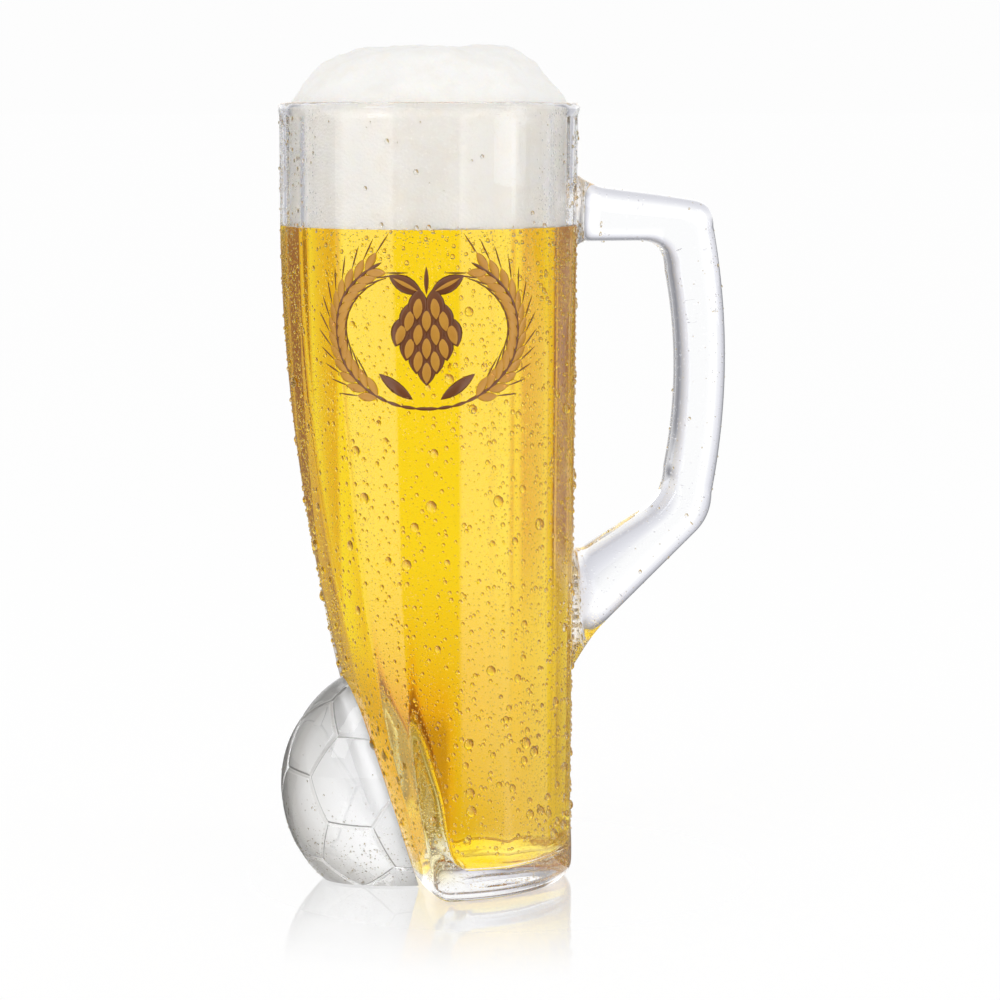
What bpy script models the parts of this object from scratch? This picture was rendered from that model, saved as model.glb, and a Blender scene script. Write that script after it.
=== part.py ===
"""Tall glass beer mug: sixteen flats round the body, a loop handle on one side and, on the other,
half a football standing against a side that leans in to the foot. It is full of beer under foam."""

import itertools
import math

import bmesh
import bpy
from mathutils import Euler, Matrix, Vector

# Driving sizes, in metres. The rim's axis is the middle of every ring before the shift at the end.
HEIGHT = 0.2000
RIM_RADIUS = 0.0385
FOOT_RADIUS = 0.0366
RIM_WALL = 0.0030
FOOT_WALL = 0.0042
BASE = 0.0070
EDGE_ROUND = 0.0040
FLOOR_ROUND = 0.0050
JOINT_GAP = 0.0003

# The side toward the ball is plumb down to LEAN_TOP, then curves in to FOOT_REACH at the table.
LEAN_TOP = 0.1730
FOOT_REACH = 0.0056
FOOT_SQUARENESS = 6.0
LEAST_REACH = 0.0010

# Sixteen flats, with a corner toward the ball and one toward the handle.
FLATS = 16
STEPS = 3
FLATS_TOP = HEIGHT - 0.0020
FLATS_FADE = 0.0020
FLATS_BOTTOM = 0.0060
FLATS_RISE = 0.0160

# A shallow dish keeps the middle of the foot off the table.
DISH_RADIUS = 0.0125
DISH_DEPTH = 0.0010
DISH_CENTRE = 0.0170

# The handle lies between an outer and an inner edge, drawn as (x, z) and meeting the body at ROOT_X.
ROOT_X = RIM_RADIUS
HANDLE_REACH = 0.0776
GRIP_WIDTH = 0.0117
GRIP_DEPTH = 0.0150
GRIP_BOW = 0.0034
HANDLE_TOP = 0.1745
ARM_SLOPE = 0.0048
ARM_WIDTH = 0.0100
HANDLE_FOOT = 0.0925
LOWER_RISE = 0.0050
UPPER_ROOT = 0.0150
LOWER_ROOT = 0.0250
LOWER_DROP = 0.0342
OUTER_BEND = 0.0060
INNER_BEND = 0.0080
ROOT_FLARE = 0.0022
FLARE_REACH = 0.0060
GRIP_SQUARENESS = 3.0

# The football stands on a flat, its far side plumb with the rim, and is pressed flatter across.
BALL_RADIUS = 0.0328
BALL_DEPTH = 0.0208
BALL_HEIGHT = 0.0242
BALL_OFFSET = RIM_RADIUS + 0.0008 - BALL_RADIUS
BALL_TURN = (-87.9, -27.0, -52.6)
SEAM_WIDTH = 0.0016
SEAM_DEPTH = 0.0006
SEAM_STEPS = 4

# Behind the ball the wall is thicker: a share of BALL_WALL at the foot, all of it where it is full,
# then less from where it thins to where it ends.
BALL_WALL = 0.0074
BALL_WALL_FOOT = 0.60
BALL_WALL_FULL = 0.0280
BALL_WALL_THINS = 0.0380
BALL_WALL_ENDS = 0.0660

# What the mug holds.
BEER_LEVEL = 0.1692
DOME_HEIGHT = 0.0138
DOME_POWER = 4.0
DOME_SOFTNESS = 1.15


def clear_scene():
    for obj in list(bpy.data.objects):
        bpy.data.objects.remove(obj)


def material(name, colour, roughness, transmission=0.0, ior=1.5):
    made = bpy.data.materials.new(name)
    made.use_nodes = True
    made.diffuse_color = colour
    shader = made.node_tree.nodes["Principled BSDF"]
    shader.inputs["Base Color"].default_value = colour
    shader.inputs["Roughness"].default_value = roughness
    shader.inputs["Transmission Weight"].default_value = transmission
    shader.inputs["IOR"].default_value = ior
    return made


def ramp(value, start, end):
    """0 before start, 1 after end and a smooth rise between."""
    t = min(max((value - start) / (end - start), 0.0), 1.0)
    return t * t * (3.0 - 2.0 * t)


def radius_at(z):
    return FOOT_RADIUS + (RIM_RADIUS - FOOT_RADIUS) * z / HEIGHT


def wall_at(z):
    return FOOT_WALL + (RIM_WALL - FOOT_WALL) * z / HEIGHT


def reach_at(z):
    """How far the skin reaches from the rim's axis toward the ball."""
    setback = RIM_RADIUS - FOOT_REACH
    bend = (LEAN_TOP**2 + setback**2) / (2.0 * setback)
    drop = max(LEAN_TOP - z, 0.0)
    return RIM_RADIUS - bend + math.sqrt(bend**2 - drop**2)


def ball_wall_at(z):
    """What the wall behind the ball has on top of the wall elsewhere."""
    swell = BALL_WALL_FOOT + (1.0 - BALL_WALL_FOOT) * ramp(z, BASE, BALL_WALL_FULL)
    return BALL_WALL * swell * (1.0 - ramp(z, BALL_WALL_THINS, BALL_WALL_ENDS))


def flats_at(z):
    top = 1.0 - ramp(z, FLATS_TOP - FLATS_FADE, FLATS_TOP)
    bottom = ramp(z, FLATS_BOTTOM, FLATS_BOTTOM + FLATS_RISE)
    return top * bottom


def ring(z, inset, flats=0.0, thicker=0.0):
    """The outline at height z, inset from the skin. It is half a circle on the handle's side and
    half a superellipse, squarer as it gets shallower, on the ball's. With flats at 1, every
    outline is straight between the sixteen corners."""
    radius = radius_at(z) - inset
    reach = reach_at(z) - inset - thicker
    left = max(reach, LEAST_REACH)
    centre = left - reach
    right = radius - centre
    depth = math.sqrt(radius**2 - centre**2)
    power = 2.0 / (2.0 + (FOOT_SQUARENESS - 2.0) * max(1.0 - left / radius, 0.0) ** 1.5)
    count = FLATS * STEPS
    smooth = []
    for i in range(count):
        angle = 2.0 * math.pi * i / count
        c, s = math.cos(angle), math.sin(angle)
        if c >= 0.0:
            smooth.append(Vector((centre + right * c, depth * s, z)))
        else:
            x = centre - left * abs(c) ** power
            smooth.append(Vector((x, math.copysign(depth * abs(s) ** power, s), z)))
    points = []
    for i, point in enumerate(smooth):
        start = i - i % STEPS
        chord = smooth[start].lerp(smooth[(start + STEPS) % count], (i % STEPS) / STEPS)
        points.append(point.lerp(chord, flats))
    return points


def skin(name, rings, look):
    """A closed solid through rings of equal length, capped at both ends. Every square is split along
    the same diagonal whether the rings go up or down, so that two skins side by side keep their gap."""
    count = len(rings[0])
    faces = [tuple(reversed(range(count)))]
    for row, (first, second) in enumerate(itertools.pairwise(rings)):
        rises = first[0].z <= second[0].z
        for i in range(count):
            a, b = row * count + i, row * count + (i + 1) % count
            c, d = b + count, a + count
            faces += [(a, b, c), (a, c, d)] if rises else [(a, b, d), (b, c, d)]
    last = (len(rings) - 1) * count
    faces.append(tuple(range(last, last + count)))
    return solid(name, list(itertools.chain(*rings)), faces, look)


def solid(name, points, faces, look):
    mesh = bpy.data.meshes.new(name)
    mesh.from_pydata(points, [], faces)
    shape = bmesh.new()
    shape.from_mesh(mesh)
    bmesh.ops.remove_doubles(shape, verts=shape.verts, dist=1e-6)
    bmesh.ops.recalc_face_normals(shape, faces=shape.faces)
    shape.to_mesh(mesh)
    shape.free()
    obj = bpy.data.objects.new(name, mesh)
    bpy.context.scene.collection.objects.link(obj)
    if look is None:
        obj.hide_render = True
        obj.display_type = "WIRE"
    else:
        mesh.materials.append(look)
    return obj


def cut(obj, cutter):
    modifier = obj.modifiers.new("cut by " + cutter.name, "BOOLEAN")
    modifier.operation = "DIFFERENCE"
    modifier.solver = "EXACT"
    modifier.object = cutter


def spread(start, end, count):
    return [start + (end - start) * i / (count - 1) for i in range(count)]


def inner_rings(gap, top):
    """Rings up the inside of the glass, from the middle of its floor to the height top."""
    rings = []
    for angle in spread(0.0, 90.0, 5):
        turn = math.radians(angle)
        z = BASE + FLOOR_ROUND * (1.0 - math.cos(turn))
        inset = wall_at(z) + FLOOR_ROUND * (1.0 - math.sin(turn))
        rings.append(ring(z + gap * math.cos(turn), inset + gap, thicker=ball_wall_at(z)))
    low, thin = BASE + FLOOR_ROUND, BALL_WALL_ENDS
    for z in spread(low, thin, 11)[1:] + spread(thin, top, 14)[1:]:
        rings.append(ring(z, wall_at(z) + gap, thicker=ball_wall_at(z)))
    return rings


def glass_body(look):
    rings = []
    for angle in spread(0.0, 90.0, 5):
        turn = math.radians(angle)
        z = EDGE_ROUND * (1.0 - math.cos(turn))
        rings.append(ring(z, EDGE_ROUND * (1.0 - math.sin(turn))))
    lip = RIM_WALL / 2.0
    for z in spread(EDGE_ROUND, FLATS_TOP - FLATS_FADE, 24)[1:] + [FLATS_TOP]:
        rings.append(ring(z, 0.0, flats_at(z)))
    for angle in spread(10.0, 170.0, 6):
        turn = math.radians(angle)
        rings.append(ring(HEIGHT - lip + lip * math.sin(turn), lip * (1.0 - math.cos(turn))))
    rings += reversed(inner_rings(0.0, HEIGHT - lip))
    body = skin("glass_body", rings, look)
    cut(body, dish())
    return body


def dish():
    """The cutter for the hollow under the foot: a low cap of a large ball."""
    bend = (DISH_RADIUS**2 + DISH_DEPTH**2) / (2.0 * DISH_DEPTH)
    heights = [-0.002] + spread(0.0, 0.92 * DISH_DEPTH, 4)
    rings = []
    for z in heights:
        wide = math.sqrt(bend**2 - (bend - DISH_DEPTH + z) ** 2)
        turns = [2.0 * math.pi * i / 32 for i in range(32)]
        rings.append([Vector((DISH_CENTRE + wide * math.cos(a), wide * math.sin(a), z)) for a in turns])
    return skin("dish_cutter", rings, None)


def body_cutter():
    """The outside of the body grown by the gap at its joints, for trimming what is fused to it."""
    rings = []
    for z in spread(-0.006, HEIGHT - 0.006, 28):
        rings.append(ring(z, -JOINT_GAP, flats_at(z)))
    return skin("body_cutter", rings, None)


def curve(start, pull, end, count):
    """Points from start to end along an arc that leans toward the point pull."""
    points = []
    for t in spread(0.0, 1.0, count):
        points.append(start.lerp(pull, t).lerp(pull.lerp(end, t), t))
    return points


def edge_line(points, bend, bow):
    """One edge of the handle through its root, two corners and other root, with the corners rounded."""
    root, upper, lower, end = points
    grip = (lower - upper).normalized()
    first_in = upper + (root - upper).normalized() * bend
    first_out = upper + grip * bend
    last_in = lower - grip * bend
    last_out = lower + (end - lower).normalized() * bend
    middle = (first_out + last_in) / 2.0 + Vector((2.0 * bow, 0.0))
    line = curve(root, (root + first_in) / 2.0, first_in, 10)
    line += curve(first_in, upper, first_out, 7)[1:]
    line += curve(first_out, middle, last_in, 14)[1:]
    line += curve(last_in, lower, last_out, 7)[1:]
    line += curve(last_out, (last_out + end) / 2.0, end, 12)[1:]
    return line


def handle(look):
    back = HANDLE_REACH - GRIP_BOW
    inside = back - GRIP_WIDTH
    sunk = ROOT_X - 0.004
    share = (ROOT_X - sunk) / (back - ROOT_X)
    upper = HANDLE_TOP + ARM_SLOPE
    lower = HANDLE_FOOT - LOWER_DROP
    outer = edge_line(
        [
            Vector((sunk, upper + share * ARM_SLOPE)),
            Vector((back, HANDLE_TOP)),
            Vector((back, HANDLE_FOOT)),
            Vector((sunk, lower - share * LOWER_DROP)),
        ],
        OUTER_BEND,
        GRIP_BOW,
    )
    inner = edge_line(
        [
            Vector((sunk, upper - UPPER_ROOT)),
            Vector((inside, HANDLE_TOP - ARM_WIDTH)),
            Vector((inside, HANDLE_FOOT + LOWER_RISE)),
            Vector((sunk, lower + LOWER_ROOT - share * LOWER_DROP / 2.0)),
        ],
        INNER_BEND,
        GRIP_BOW * 0.75,
    )
    power = 2.0 / GRIP_SQUARENESS
    rings = []
    for far, near in zip(outer, inner):
        middle = (far + near) / 2.0
        half = (far - near) / 2.0
        flare = ROOT_FLARE * max(1.0 - (middle.x - ROOT_X) / FLARE_REACH, 0.0) ** 2
        half = half * (1.0 + min(flare, 2.0 * ROOT_FLARE) / half.length)
        depth = GRIP_DEPTH / 2.0 + min(flare, 2.0 * ROOT_FLARE)
        section = []
        for i in range(20):
            angle = 2.0 * math.pi * i / 20
            c, s = math.cos(angle), math.sin(angle)
            along = math.copysign(abs(c) ** power, c)
            across = math.copysign(abs(s) ** power, s)
            point = middle + half * along
            section.append(Vector((point.x, depth * across, point.y)))
        rings.append(section)
    return skin("handle", rings, look)


def football_faces():
    """The twelve pentagons and twenty hexagons of a football, as corners of a truncated icosahedron."""
    golden = (1.0 + math.sqrt(5.0)) / 2.0
    corners = []
    for a, b in itertools.product((-1.0, 1.0), repeat=2):
        corners += [Vector((0.0, a, b * golden)), Vector((a, b * golden, 0.0)), Vector((b * golden, 0.0, a))]
    faces = []
    for i, j, k in itertools.combinations(corners, 3):
        if max((i - j).length, (j - k).length, (k - i).length) < 2.1:
            faces.append([p.lerp(q, t) for p, q in ((i, j), (j, k), (k, i)) for t in (1 / 3, 2 / 3)])
    for tip in corners:
        near = [p for p in corners if 0.1 < (p - tip).length < 2.1]
        across = (near[0] - tip).normalized()
        side = tip.normalized().cross(across)
        near.sort(key=lambda p: math.atan2((p - tip).dot(side), (p - tip).dot(across)))
        faces.append([tip.lerp(p, 1 / 3) for p in near])
    return faces


def football(look):
    """Thirty-two panels, each a cap of the ball, with grooves between them. The table cuts it flat."""
    points, faces = [], []
    for corners in football_faces():
        middle = sum(corners, Vector()) / len(corners)
        size = corners[0].length
        shrink = 1.0 - SEAM_WIDTH / 2.0 / BALL_RADIUS * size / (middle - (corners[0] + corners[1]) / 2.0).length
        border = []
        for i, corner in enumerate(corners):
            following = corners[(i + 1) % len(corners)]
            border += [corner.lerp(following, k / SEAM_STEPS) for k in range(SEAM_STEPS)]
        count = len(border)
        first = len(points)
        points += [p.normalized() * (BALL_RADIUS - SEAM_DEPTH) for p in border]
        for scale in (shrink, shrink * 0.55):
            points += [middle.lerp(p, scale).normalized() * BALL_RADIUS for p in border]
        points.append(middle.normalized() * BALL_RADIUS)
        for low in (first, first + count):
            for i in range(count):
                j = (i + 1) % count
                faces.append((low + i, low + j, low + count + j, low + count + i))
        for i in range(count):
            faces.append((first + 2 * count + i, first + 2 * count + (i + 1) % count, first + 3 * count))
    turn = Euler([math.radians(a) for a in BALL_TURN], "XYZ").to_matrix()
    press = Matrix.Diagonal((1.0, BALL_DEPTH / BALL_RADIUS, 1.0))
    centre = Vector((-BALL_OFFSET, 0.0, BALL_HEIGHT))
    return solid("football", [press @ turn @ p + centre for p in points], faces, look)


def table_cutter():
    wide, deep = 2.0 * RIM_RADIUS, 0.03
    low = [Vector((x, y, -deep)) for x, y in ((-wide, -wide), (wide, -wide), (wide, wide), (-wide, wide))]
    return skin("table_cutter", [low, [p + Vector((0.0, 0.0, deep)) for p in low]], None)


def beer(look):
    return skin("beer", inner_rings(JOINT_GAP, BEER_LEVEL), look)


def foam_head(look):
    """Foam up to the rim, then a dome that stands above it."""
    rings = []
    for z in spread(BEER_LEVEL + JOINT_GAP, HEIGHT - RIM_WALL / 2.0, 7):
        rings.append(ring(z, wall_at(z) + JOINT_GAP))
    edge = ring(HEIGHT, RIM_WALL + JOINT_GAP)
    for share in (0.97, 0.93, 0.88, 0.82, 0.74, 0.64, 0.50, 0.34, 0.17):
        rise = DOME_HEIGHT * (1.0 - share**DOME_POWER) ** DOME_SOFTNESS
        rings.append([Vector((p.x * share, p.y * share, HEIGHT + rise)) for p in edge])
    return skin("foam_head", rings, look)


def build():
    clear_scene()
    glass = {"roughness": 0.02, "transmission": 1.0, "ior": 1.5}
    clear = (0.93, 0.95, 0.96, 1.0)
    trim = body_cutter()
    table = table_cutter()
    body = glass_body(material("body_glass", clear, **glass))
    grip = handle(material("handle_glass", clear, **glass))
    ball = football(material("ball_glass", clear, **glass))
    cut(grip, trim)
    cut(ball, table)
    cut(ball, trim)
    filled = beer(material("beer_gold", (0.95, 0.62, 0.03, 1.0), 0.02, 1.0, 1.34))
    head = foam_head(material("foam_white", (0.95, 0.92, 0.86, 1.0), 0.8))
    middle = (HANDLE_REACH - BALL_OFFSET - BALL_RADIUS) / 2.0
    for obj in list(bpy.data.objects):
        obj.location.x -= middle
    return body, grip, ball, filled, head


build()
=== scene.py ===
# %% [markdown]
# # A glass beer mug with half a football at its foot
# This lesson dresses the solids of a tall pressed-glass mug. The solids already have the right
# sizes and places, so each piece here is a finer copy of one of them: thick clear glass, pale beer,
# a head of foam and the dew that sits on cold glass. Everything is in metres, with +Z up.

# %% Load the solids as a fixed frame
import math

import bmesh
import bpy
import numpy as np
from mathutils import Euler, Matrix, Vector


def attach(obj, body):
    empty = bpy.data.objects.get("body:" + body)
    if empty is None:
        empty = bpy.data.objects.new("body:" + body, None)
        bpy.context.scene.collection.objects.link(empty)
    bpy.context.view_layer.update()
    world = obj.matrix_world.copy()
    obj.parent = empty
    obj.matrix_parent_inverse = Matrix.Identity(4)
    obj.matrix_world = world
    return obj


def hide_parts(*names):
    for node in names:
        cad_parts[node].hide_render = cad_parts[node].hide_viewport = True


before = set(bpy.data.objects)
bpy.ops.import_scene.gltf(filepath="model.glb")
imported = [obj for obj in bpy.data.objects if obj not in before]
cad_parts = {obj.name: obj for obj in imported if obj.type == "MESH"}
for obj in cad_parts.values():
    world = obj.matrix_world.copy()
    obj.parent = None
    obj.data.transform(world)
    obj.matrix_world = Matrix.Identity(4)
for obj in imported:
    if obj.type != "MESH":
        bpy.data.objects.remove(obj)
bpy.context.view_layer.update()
scene = bpy.context.scene
scene.view_settings.view_transform = "Standard"


def place_object(name, data):
    """A new object with this mesh, lamp or camera, in the scene."""
    made = bpy.data.objects.new(name, data)
    scene.collection.objects.link(made)
    return made


# %% [markdown]
# ## The camera
# A photographer stands back with a long lens so that a tall glass keeps straight sides. The camera
# is level with the rim and looks a little down. The mug is turned by half a flat, so one flat faces
# the lens and the inner side of the grip shows.

# %% Place the camera
LENS_MM = 121.57
CAMERA_PLACE = (-0.1703, -0.8523, 0.1998)
CAMERA_TILT = 83.295
MUG_TURN = -11.25
optics = bpy.data.cameras.new("studio_camera")
optics.lens = LENS_MM
optics.sensor_width = 36.0
optics.clip_end = 200.0
camera = place_object("studio_camera", optics)
camera.location = CAMERA_PLACE
camera.rotation_euler = (math.radians(CAMERA_TILT), 0.0, math.radians(MUG_TURN))
scene.camera = camera
print("camera", LENS_MM, "mm lens")

# %% [markdown]
# ## Helpers for nodes
# Materials, the world and Geometry Nodes are all trees of nodes. By hand, a node is added, set and wired.
# A few helpers do the same in one line each, and give back the output socket for the next node.

# %% Write the node helpers
def add_node(tree, kind, links=None, **settings):
    """A node with its properties set and its inputs linked or filled by label or number."""
    node = tree.nodes.new(kind)
    for label, value in settings.items():
        setattr(node, label, value)
    for label, value in (links or {}).items():
        if isinstance(value, bpy.types.NodeSocket):
            tree.links.new(value, node.inputs[label])
        else:
            node.inputs[label].default_value = value
    return node


def calc(tree, operation, *values):
    """A Math node on sockets or plain numbers; gives its output socket."""
    return add_node(tree, "ShaderNodeMath", dict(enumerate(values)), operation=operation).outputs[0]


def fade(tree, value, start, end, low, high):
    """A smooth Map Range node from start..end to low..high; gives its output socket."""
    inputs = dict(enumerate((value, start, end, low, high)))
    return add_node(tree, "ShaderNodeMapRange", inputs, interpolation_type="SMOOTHSTEP").outputs[0]


def turned_axes(tree, label):
    """The x, y and z of a texture coordinate, turned so that y points away from the camera."""
    place = add_node(tree, "ShaderNodeTexCoord").outputs[label]
    turn = {"Vector": place, "Rotation": (0.0, 0.0, math.radians(-MUG_TURN))}
    turned = add_node(tree, "ShaderNodeMapping", turn).outputs["Vector"]
    return add_node(tree, "ShaderNodeSeparateXYZ", {"Vector": turned}).outputs


def colour_ramp(tree, value, stops):
    """A Color Ramp node with these (place, colour) stops, the first at 0; gives its colour socket."""
    node = add_node(tree, "ShaderNodeValToRGB", {0: value})
    elements = node.color_ramp.elements
    elements.remove(elements[1])
    elements[0].color = (*stops[0][1], 1.0)
    for place, colour in stops[1:]:
        elements.new(place).color = (*colour, 1.0)
    return node.outputs["Color"]


def choose(tree, mask, chosen, otherwise):
    """The chosen colour where the mask is 1, and otherwise the other. Plain numbers are greys."""
    inputs = {0: mask}
    for slot, value in ((7, chosen), (6, otherwise)):
        if isinstance(value, float):
            value = (value, value, value)
        inputs[slot] = (*value, 1.0) if isinstance(value, tuple) else value
    return add_node(tree, "ShaderNodeMix", inputs, data_type="RGBA").outputs[2]


def length_of(tree, first, second):
    squares = [calc(tree, "POWER", value, 2.0) for value in (first, second)]
    return calc(tree, "SQRT", calc(tree, "ADD", *squares))


print("node helpers written")

# %% [markdown]
# ## The studio
# Clear glass is only visible through what it bends, so the studio matters as much as the material.
# Glass is lit in a bright field: a wide white backdrop behind, and darker sides that draw the edges.
# One picture of a studio can't suit glass, beer, foam and floor at once, so the world asks Light Path
# how a ray got there. Rays bent by glass meet the backdrop and its sides, in amber once they crossed
# the beer. Mirrored rays meet soft boxes, or a white ceiling if they come straight off the floor.
# Matt surfaces get even light, and the camera itself sees plain white.

# %% Say what bent and mirrored rays meet
BACKDROP = 1.04
WHITE = (BACKDROP, BACKDROP, BACKDROP)
MIRROR_LEVELS = (0.15, 2.05, -1.0)
TURNED_BACK = (0.50, 0.50, 0.52)
BEER_WALLS = 4.5
BEHIND_GLASS = (
    (0.00, WHITE),
    (0.30, WHITE),
    (0.44, (0.82, 0.82, 0.88)),
    (0.60, (0.48, 0.48, 0.52)),
    (0.70, (0.27, 0.27, 0.30)),
    (0.84, (0.46, 0.46, 0.49)),
    (0.95, (0.86, 0.86, 0.90)),
)
BEHIND_BEER = (
    (0.00, WHITE),
    (0.28, WHITE),
    (0.40, (0.90, 0.72, 0.62)),
    (0.56, (0.80, 0.54, 0.28)),
    (0.66, (0.32, 0.14, 0.05)),
    (0.78, (0.32, 0.14, 0.05)),
    (0.88, (0.46, 0.25, 0.10)),
    (0.97, (0.86, 0.76, 0.64)),
)


def crossed_beer(tree, crossings):
    return calc(tree, "GREATER_THAN", crossings, BEER_WALLS)


def seen_through_glass(tree, aside, ahead, crossings):
    """What bent rays meet: the backdrop and its darker sides, in amber after the beer's many walls."""
    clear = colour_ramp(tree, aside, BEHIND_GLASS)
    clear = choose(tree, calc(tree, "LESS_THAN", ahead, -0.1), TURNED_BACK, clear)
    return choose(tree, crossed_beer(tree, crossings), colour_ramp(tree, aside, BEHIND_BEER), clear)


def seen_in_glass(tree, aside, ahead):
    """What mirrored rays meet: dark by the camera, soft boxes at its two sides, white walls behind."""
    low, boxes, walls = MIRROR_LEVELS
    bright = fade(tree, aside, 0.45, 0.67, low, low + boxes)
    front = calc(tree, "ADD", bright, fade(tree, aside, 0.77, 0.97, 0.0, walls))
    back = fade(tree, aside, 0.12, 0.40, 1.0, 0.22)
    toward = calc(tree, "LESS_THAN", ahead, 0.0)
    return calc(tree, "MULTIPLY_ADD", calc(tree, "SUBTRACT", front, back), toward, back)


def ray_kinds(tree):
    """Masks for camera, mirrored and bent rays and rays off a matt surface, then walls and bounces."""
    rays = add_node(tree, "ShaderNodeLightPath").outputs
    bent = rays["Is Transmission Ray"]
    mirrored = calc(tree, "MULTIPLY", rays["Is Glossy Ray"], calc(tree, "SUBTRACT", 1.0, bent))
    after_matt = calc(tree, "GREATER_THAN", rays["Diffuse Depth"], 0.5)
    return rays["Is Camera Ray"], mirrored, bent, after_matt, rays["Transmission Depth"], rays["Ray Depth"]


print("stops behind glass and beer:", len(BEHIND_GLASS), len(BEHIND_BEER))

# %% [markdown]
# ## The world
# The world puts the kinds of ray together. Light inside the ball and behind the foam has passed glass
# and then a matt surface, so it gets levels of its own. The bounce limits are high, because a ray
# through mug and beer crosses many walls.

# %% Make the studio's world
EVEN_LIGHT = (0.86, 0.48)
INSIDE_LIGHT = ((0.0, (3.50, 3.32, 3.06)), (0.85, (0.68, 0.605, 0.51)))
BACKGROUND_WHITE = 0.982
BALL_LIGHT = 3.3
CEILING = 1.24
FLOOR_IMAGE = (1.22, 1.14, 0.92)
RISING = 0.03
BALL_WALLS = 2.5
FIRST_BOUNCE = 2.5
world = bpy.data.worlds.new("studio")
scene.world = world
world.use_nodes = True
sky = world.node_tree
sky_axes = turned_axes(sky, "Generated")
aside = calc(sky, "ABSOLUTE", sky_axes["X"])
from_camera, mirrored, bent, after_matt, crossings, bounces = ray_kinds(sky)
off_axis = length_of(sky, aside, sky_axes["Z"])
in_ball = calc(sky, "LESS_THAN", crossings, BALL_WALLS)
inside = choose(sky, in_ball, BALL_LIGHT, colour_ramp(sky, aside, INSIDE_LIGHT))
rising = calc(sky, "GREATER_THAN", sky_axes["Z"], RISING)
beyond = seen_through_glass(sky, off_axis, sky_axes["Y"], crossings)
raised = calc(sky, "MULTIPLY", rising, crossed_beer(sky, crossings))
beyond = choose(sky, raised, FLOOR_IMAGE, beyond)
through = choose(sky, after_matt, inside, beyond)
shine = choose(sky, bent, through, fade(sky, aside, 0.25, 0.95, *EVEN_LIGHT))
off_floor = calc(sky, "MULTIPLY", rising, calc(sky, "LESS_THAN", bounces, FIRST_BOUNCE))
in_mirror = choose(sky, off_floor, CEILING, seen_in_glass(sky, aside, sky_axes["Y"]))
shine = choose(sky, mirrored, in_mirror, shine)
shine = choose(sky, from_camera, BACKGROUND_WHITE, shine)
sky.links.new(shine, sky.nodes["Background"].inputs["Color"])
scene.cycles.max_bounces = 32
scene.cycles.transmission_bounces = 32
scene.cycles.glossy_bounces = 24
scene.cycles.diffuse_bounces = 6
print("studio world made")

# %% [markdown]
# ## Soft lamps
# Two large soft boxes stand in front, left and right. They shape the foam and leave long soft
# highlights on the glass. A large area lamp does what a soft box does: the larger, the softer the edge.

# %% Place the lamps
SOFT_BOXES = (("left_box", (-0.95, -0.75, 0.85), 4.0), ("right_box", (0.95, -0.60, 0.55), 2.4))
BOX_SIZE = (0.45, 0.95)
AIM = Vector((-0.02, 0.0, 0.11))
for name, place, power in SOFT_BOXES:
    lamp = bpy.data.lights.new(name, "AREA")
    lamp.shape = "RECTANGLE"
    lamp.size, lamp.size_y = BOX_SIZE
    lamp.energy = power
    box = place_object(name, lamp)
    box.location = place
    box.rotation_euler = (AIM - Vector(place)).to_track_quat("-Z", "Y").to_euler()
print(len(SOFT_BOXES), "soft boxes")

# %% [markdown]
# ## The floor
# The floor is a glossy white sheet. A glossy shader shows the mug's mirror image close to the foot and
# fades away from it, over a matt white that glows a little, so the sheet has no edge against the
# background. Rays that come through glass meet the backdrop there instead, but a short way from the foot
# they meet a painted grey shade, or a painted warm glow once they crossed the beer.

# %% Lay the floor
MIRROR_SHARE = 0.38
FLOOR_MATT = 0.08
FLOOR_GLOW = 0.926
FLOOR_REACH = 60.0
FLOOR_LEVEL = -0.0004
MIRROR_FADE = (0.030, 0.115)
# Painted grey shade and painted warm glow on the floor, seen only by rays that come through the glass near
# the foot.
BEHIND_HANDLE = (
    (0.00, WHITE),
    (0.09, WHITE),
    (0.17, (0.62, 0.62, 0.67)),
    (0.36, (0.78, 0.78, 0.83)),
    (0.70, WHITE),
)
UNDER_BEER = (
    (0.00, (0.80, 0.66, 0.56)),
    (0.30, (0.93, 0.80, 0.68)),
    (0.85, WHITE),
)
floor_look = bpy.data.materials.new("white_gloss_floor")
floor_look.use_nodes = True
paper = floor_look.node_tree
paper.nodes.remove(paper.nodes["Principled BSDF"])
floor_axes = turned_axes(paper, "Object")
away = length_of(paper, floor_axes["X"], floor_axes["Y"])
aside = calc(paper, "DIVIDE", calc(paper, "ABSOLUTE", floor_axes["X"]), away)
_, mirrored, bent, after_matt, crossings, _ = ray_kinds(paper)
beneath = colour_ramp(paper, away, UNDER_BEER)
near = choose(paper, crossed_beer(paper, crossings), beneath, colour_ramp(paper, away, BEHIND_HANDLE))
far = fade(paper, away, 0.35, 0.80, 0.0, 1.0)
through = choose(paper, far, seen_through_glass(paper, aside, floor_axes["Y"], crossings), near)
studio = choose(paper, mirrored, seen_in_glass(paper, aside, floor_axes["Y"]), through)


def shader_node(kind, links):
    return add_node(paper, kind, links).outputs[0]


matt = shader_node("ShaderNodeBsdfDiffuse", {"Color": (FLOOR_MATT, FLOOR_MATT, FLOOR_MATT, 1.0)})
glow = shader_node("ShaderNodeEmission", {"Strength": FLOOR_GLOW})
lit = shader_node("ShaderNodeAddShader", {0: matt, 1: glow})
gloss = shader_node("ShaderNodeBsdfGlossy", {"Roughness": 0.03})
share = fade(paper, away, *MIRROR_FADE, MIRROR_SHARE, 0.0)
sheet = shader_node("ShaderNodeMixShader", {0: share, 1: lit, 2: gloss})
past_matt = calc(paper, "SUBTRACT", 1.0, after_matt)
by_glass = calc(paper, "MULTIPLY", calc(paper, "MAXIMUM", mirrored, bent), past_matt)
studio_glow = shader_node("ShaderNodeEmission", {"Color": studio})
sheet = shader_node("ShaderNodeMixShader", {0: by_glass, 1: sheet, 2: studio_glow})
paper.links.new(sheet, paper.nodes["Material Output"].inputs["Surface"])
floor_mesh = bpy.data.meshes.new("floor")
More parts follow.
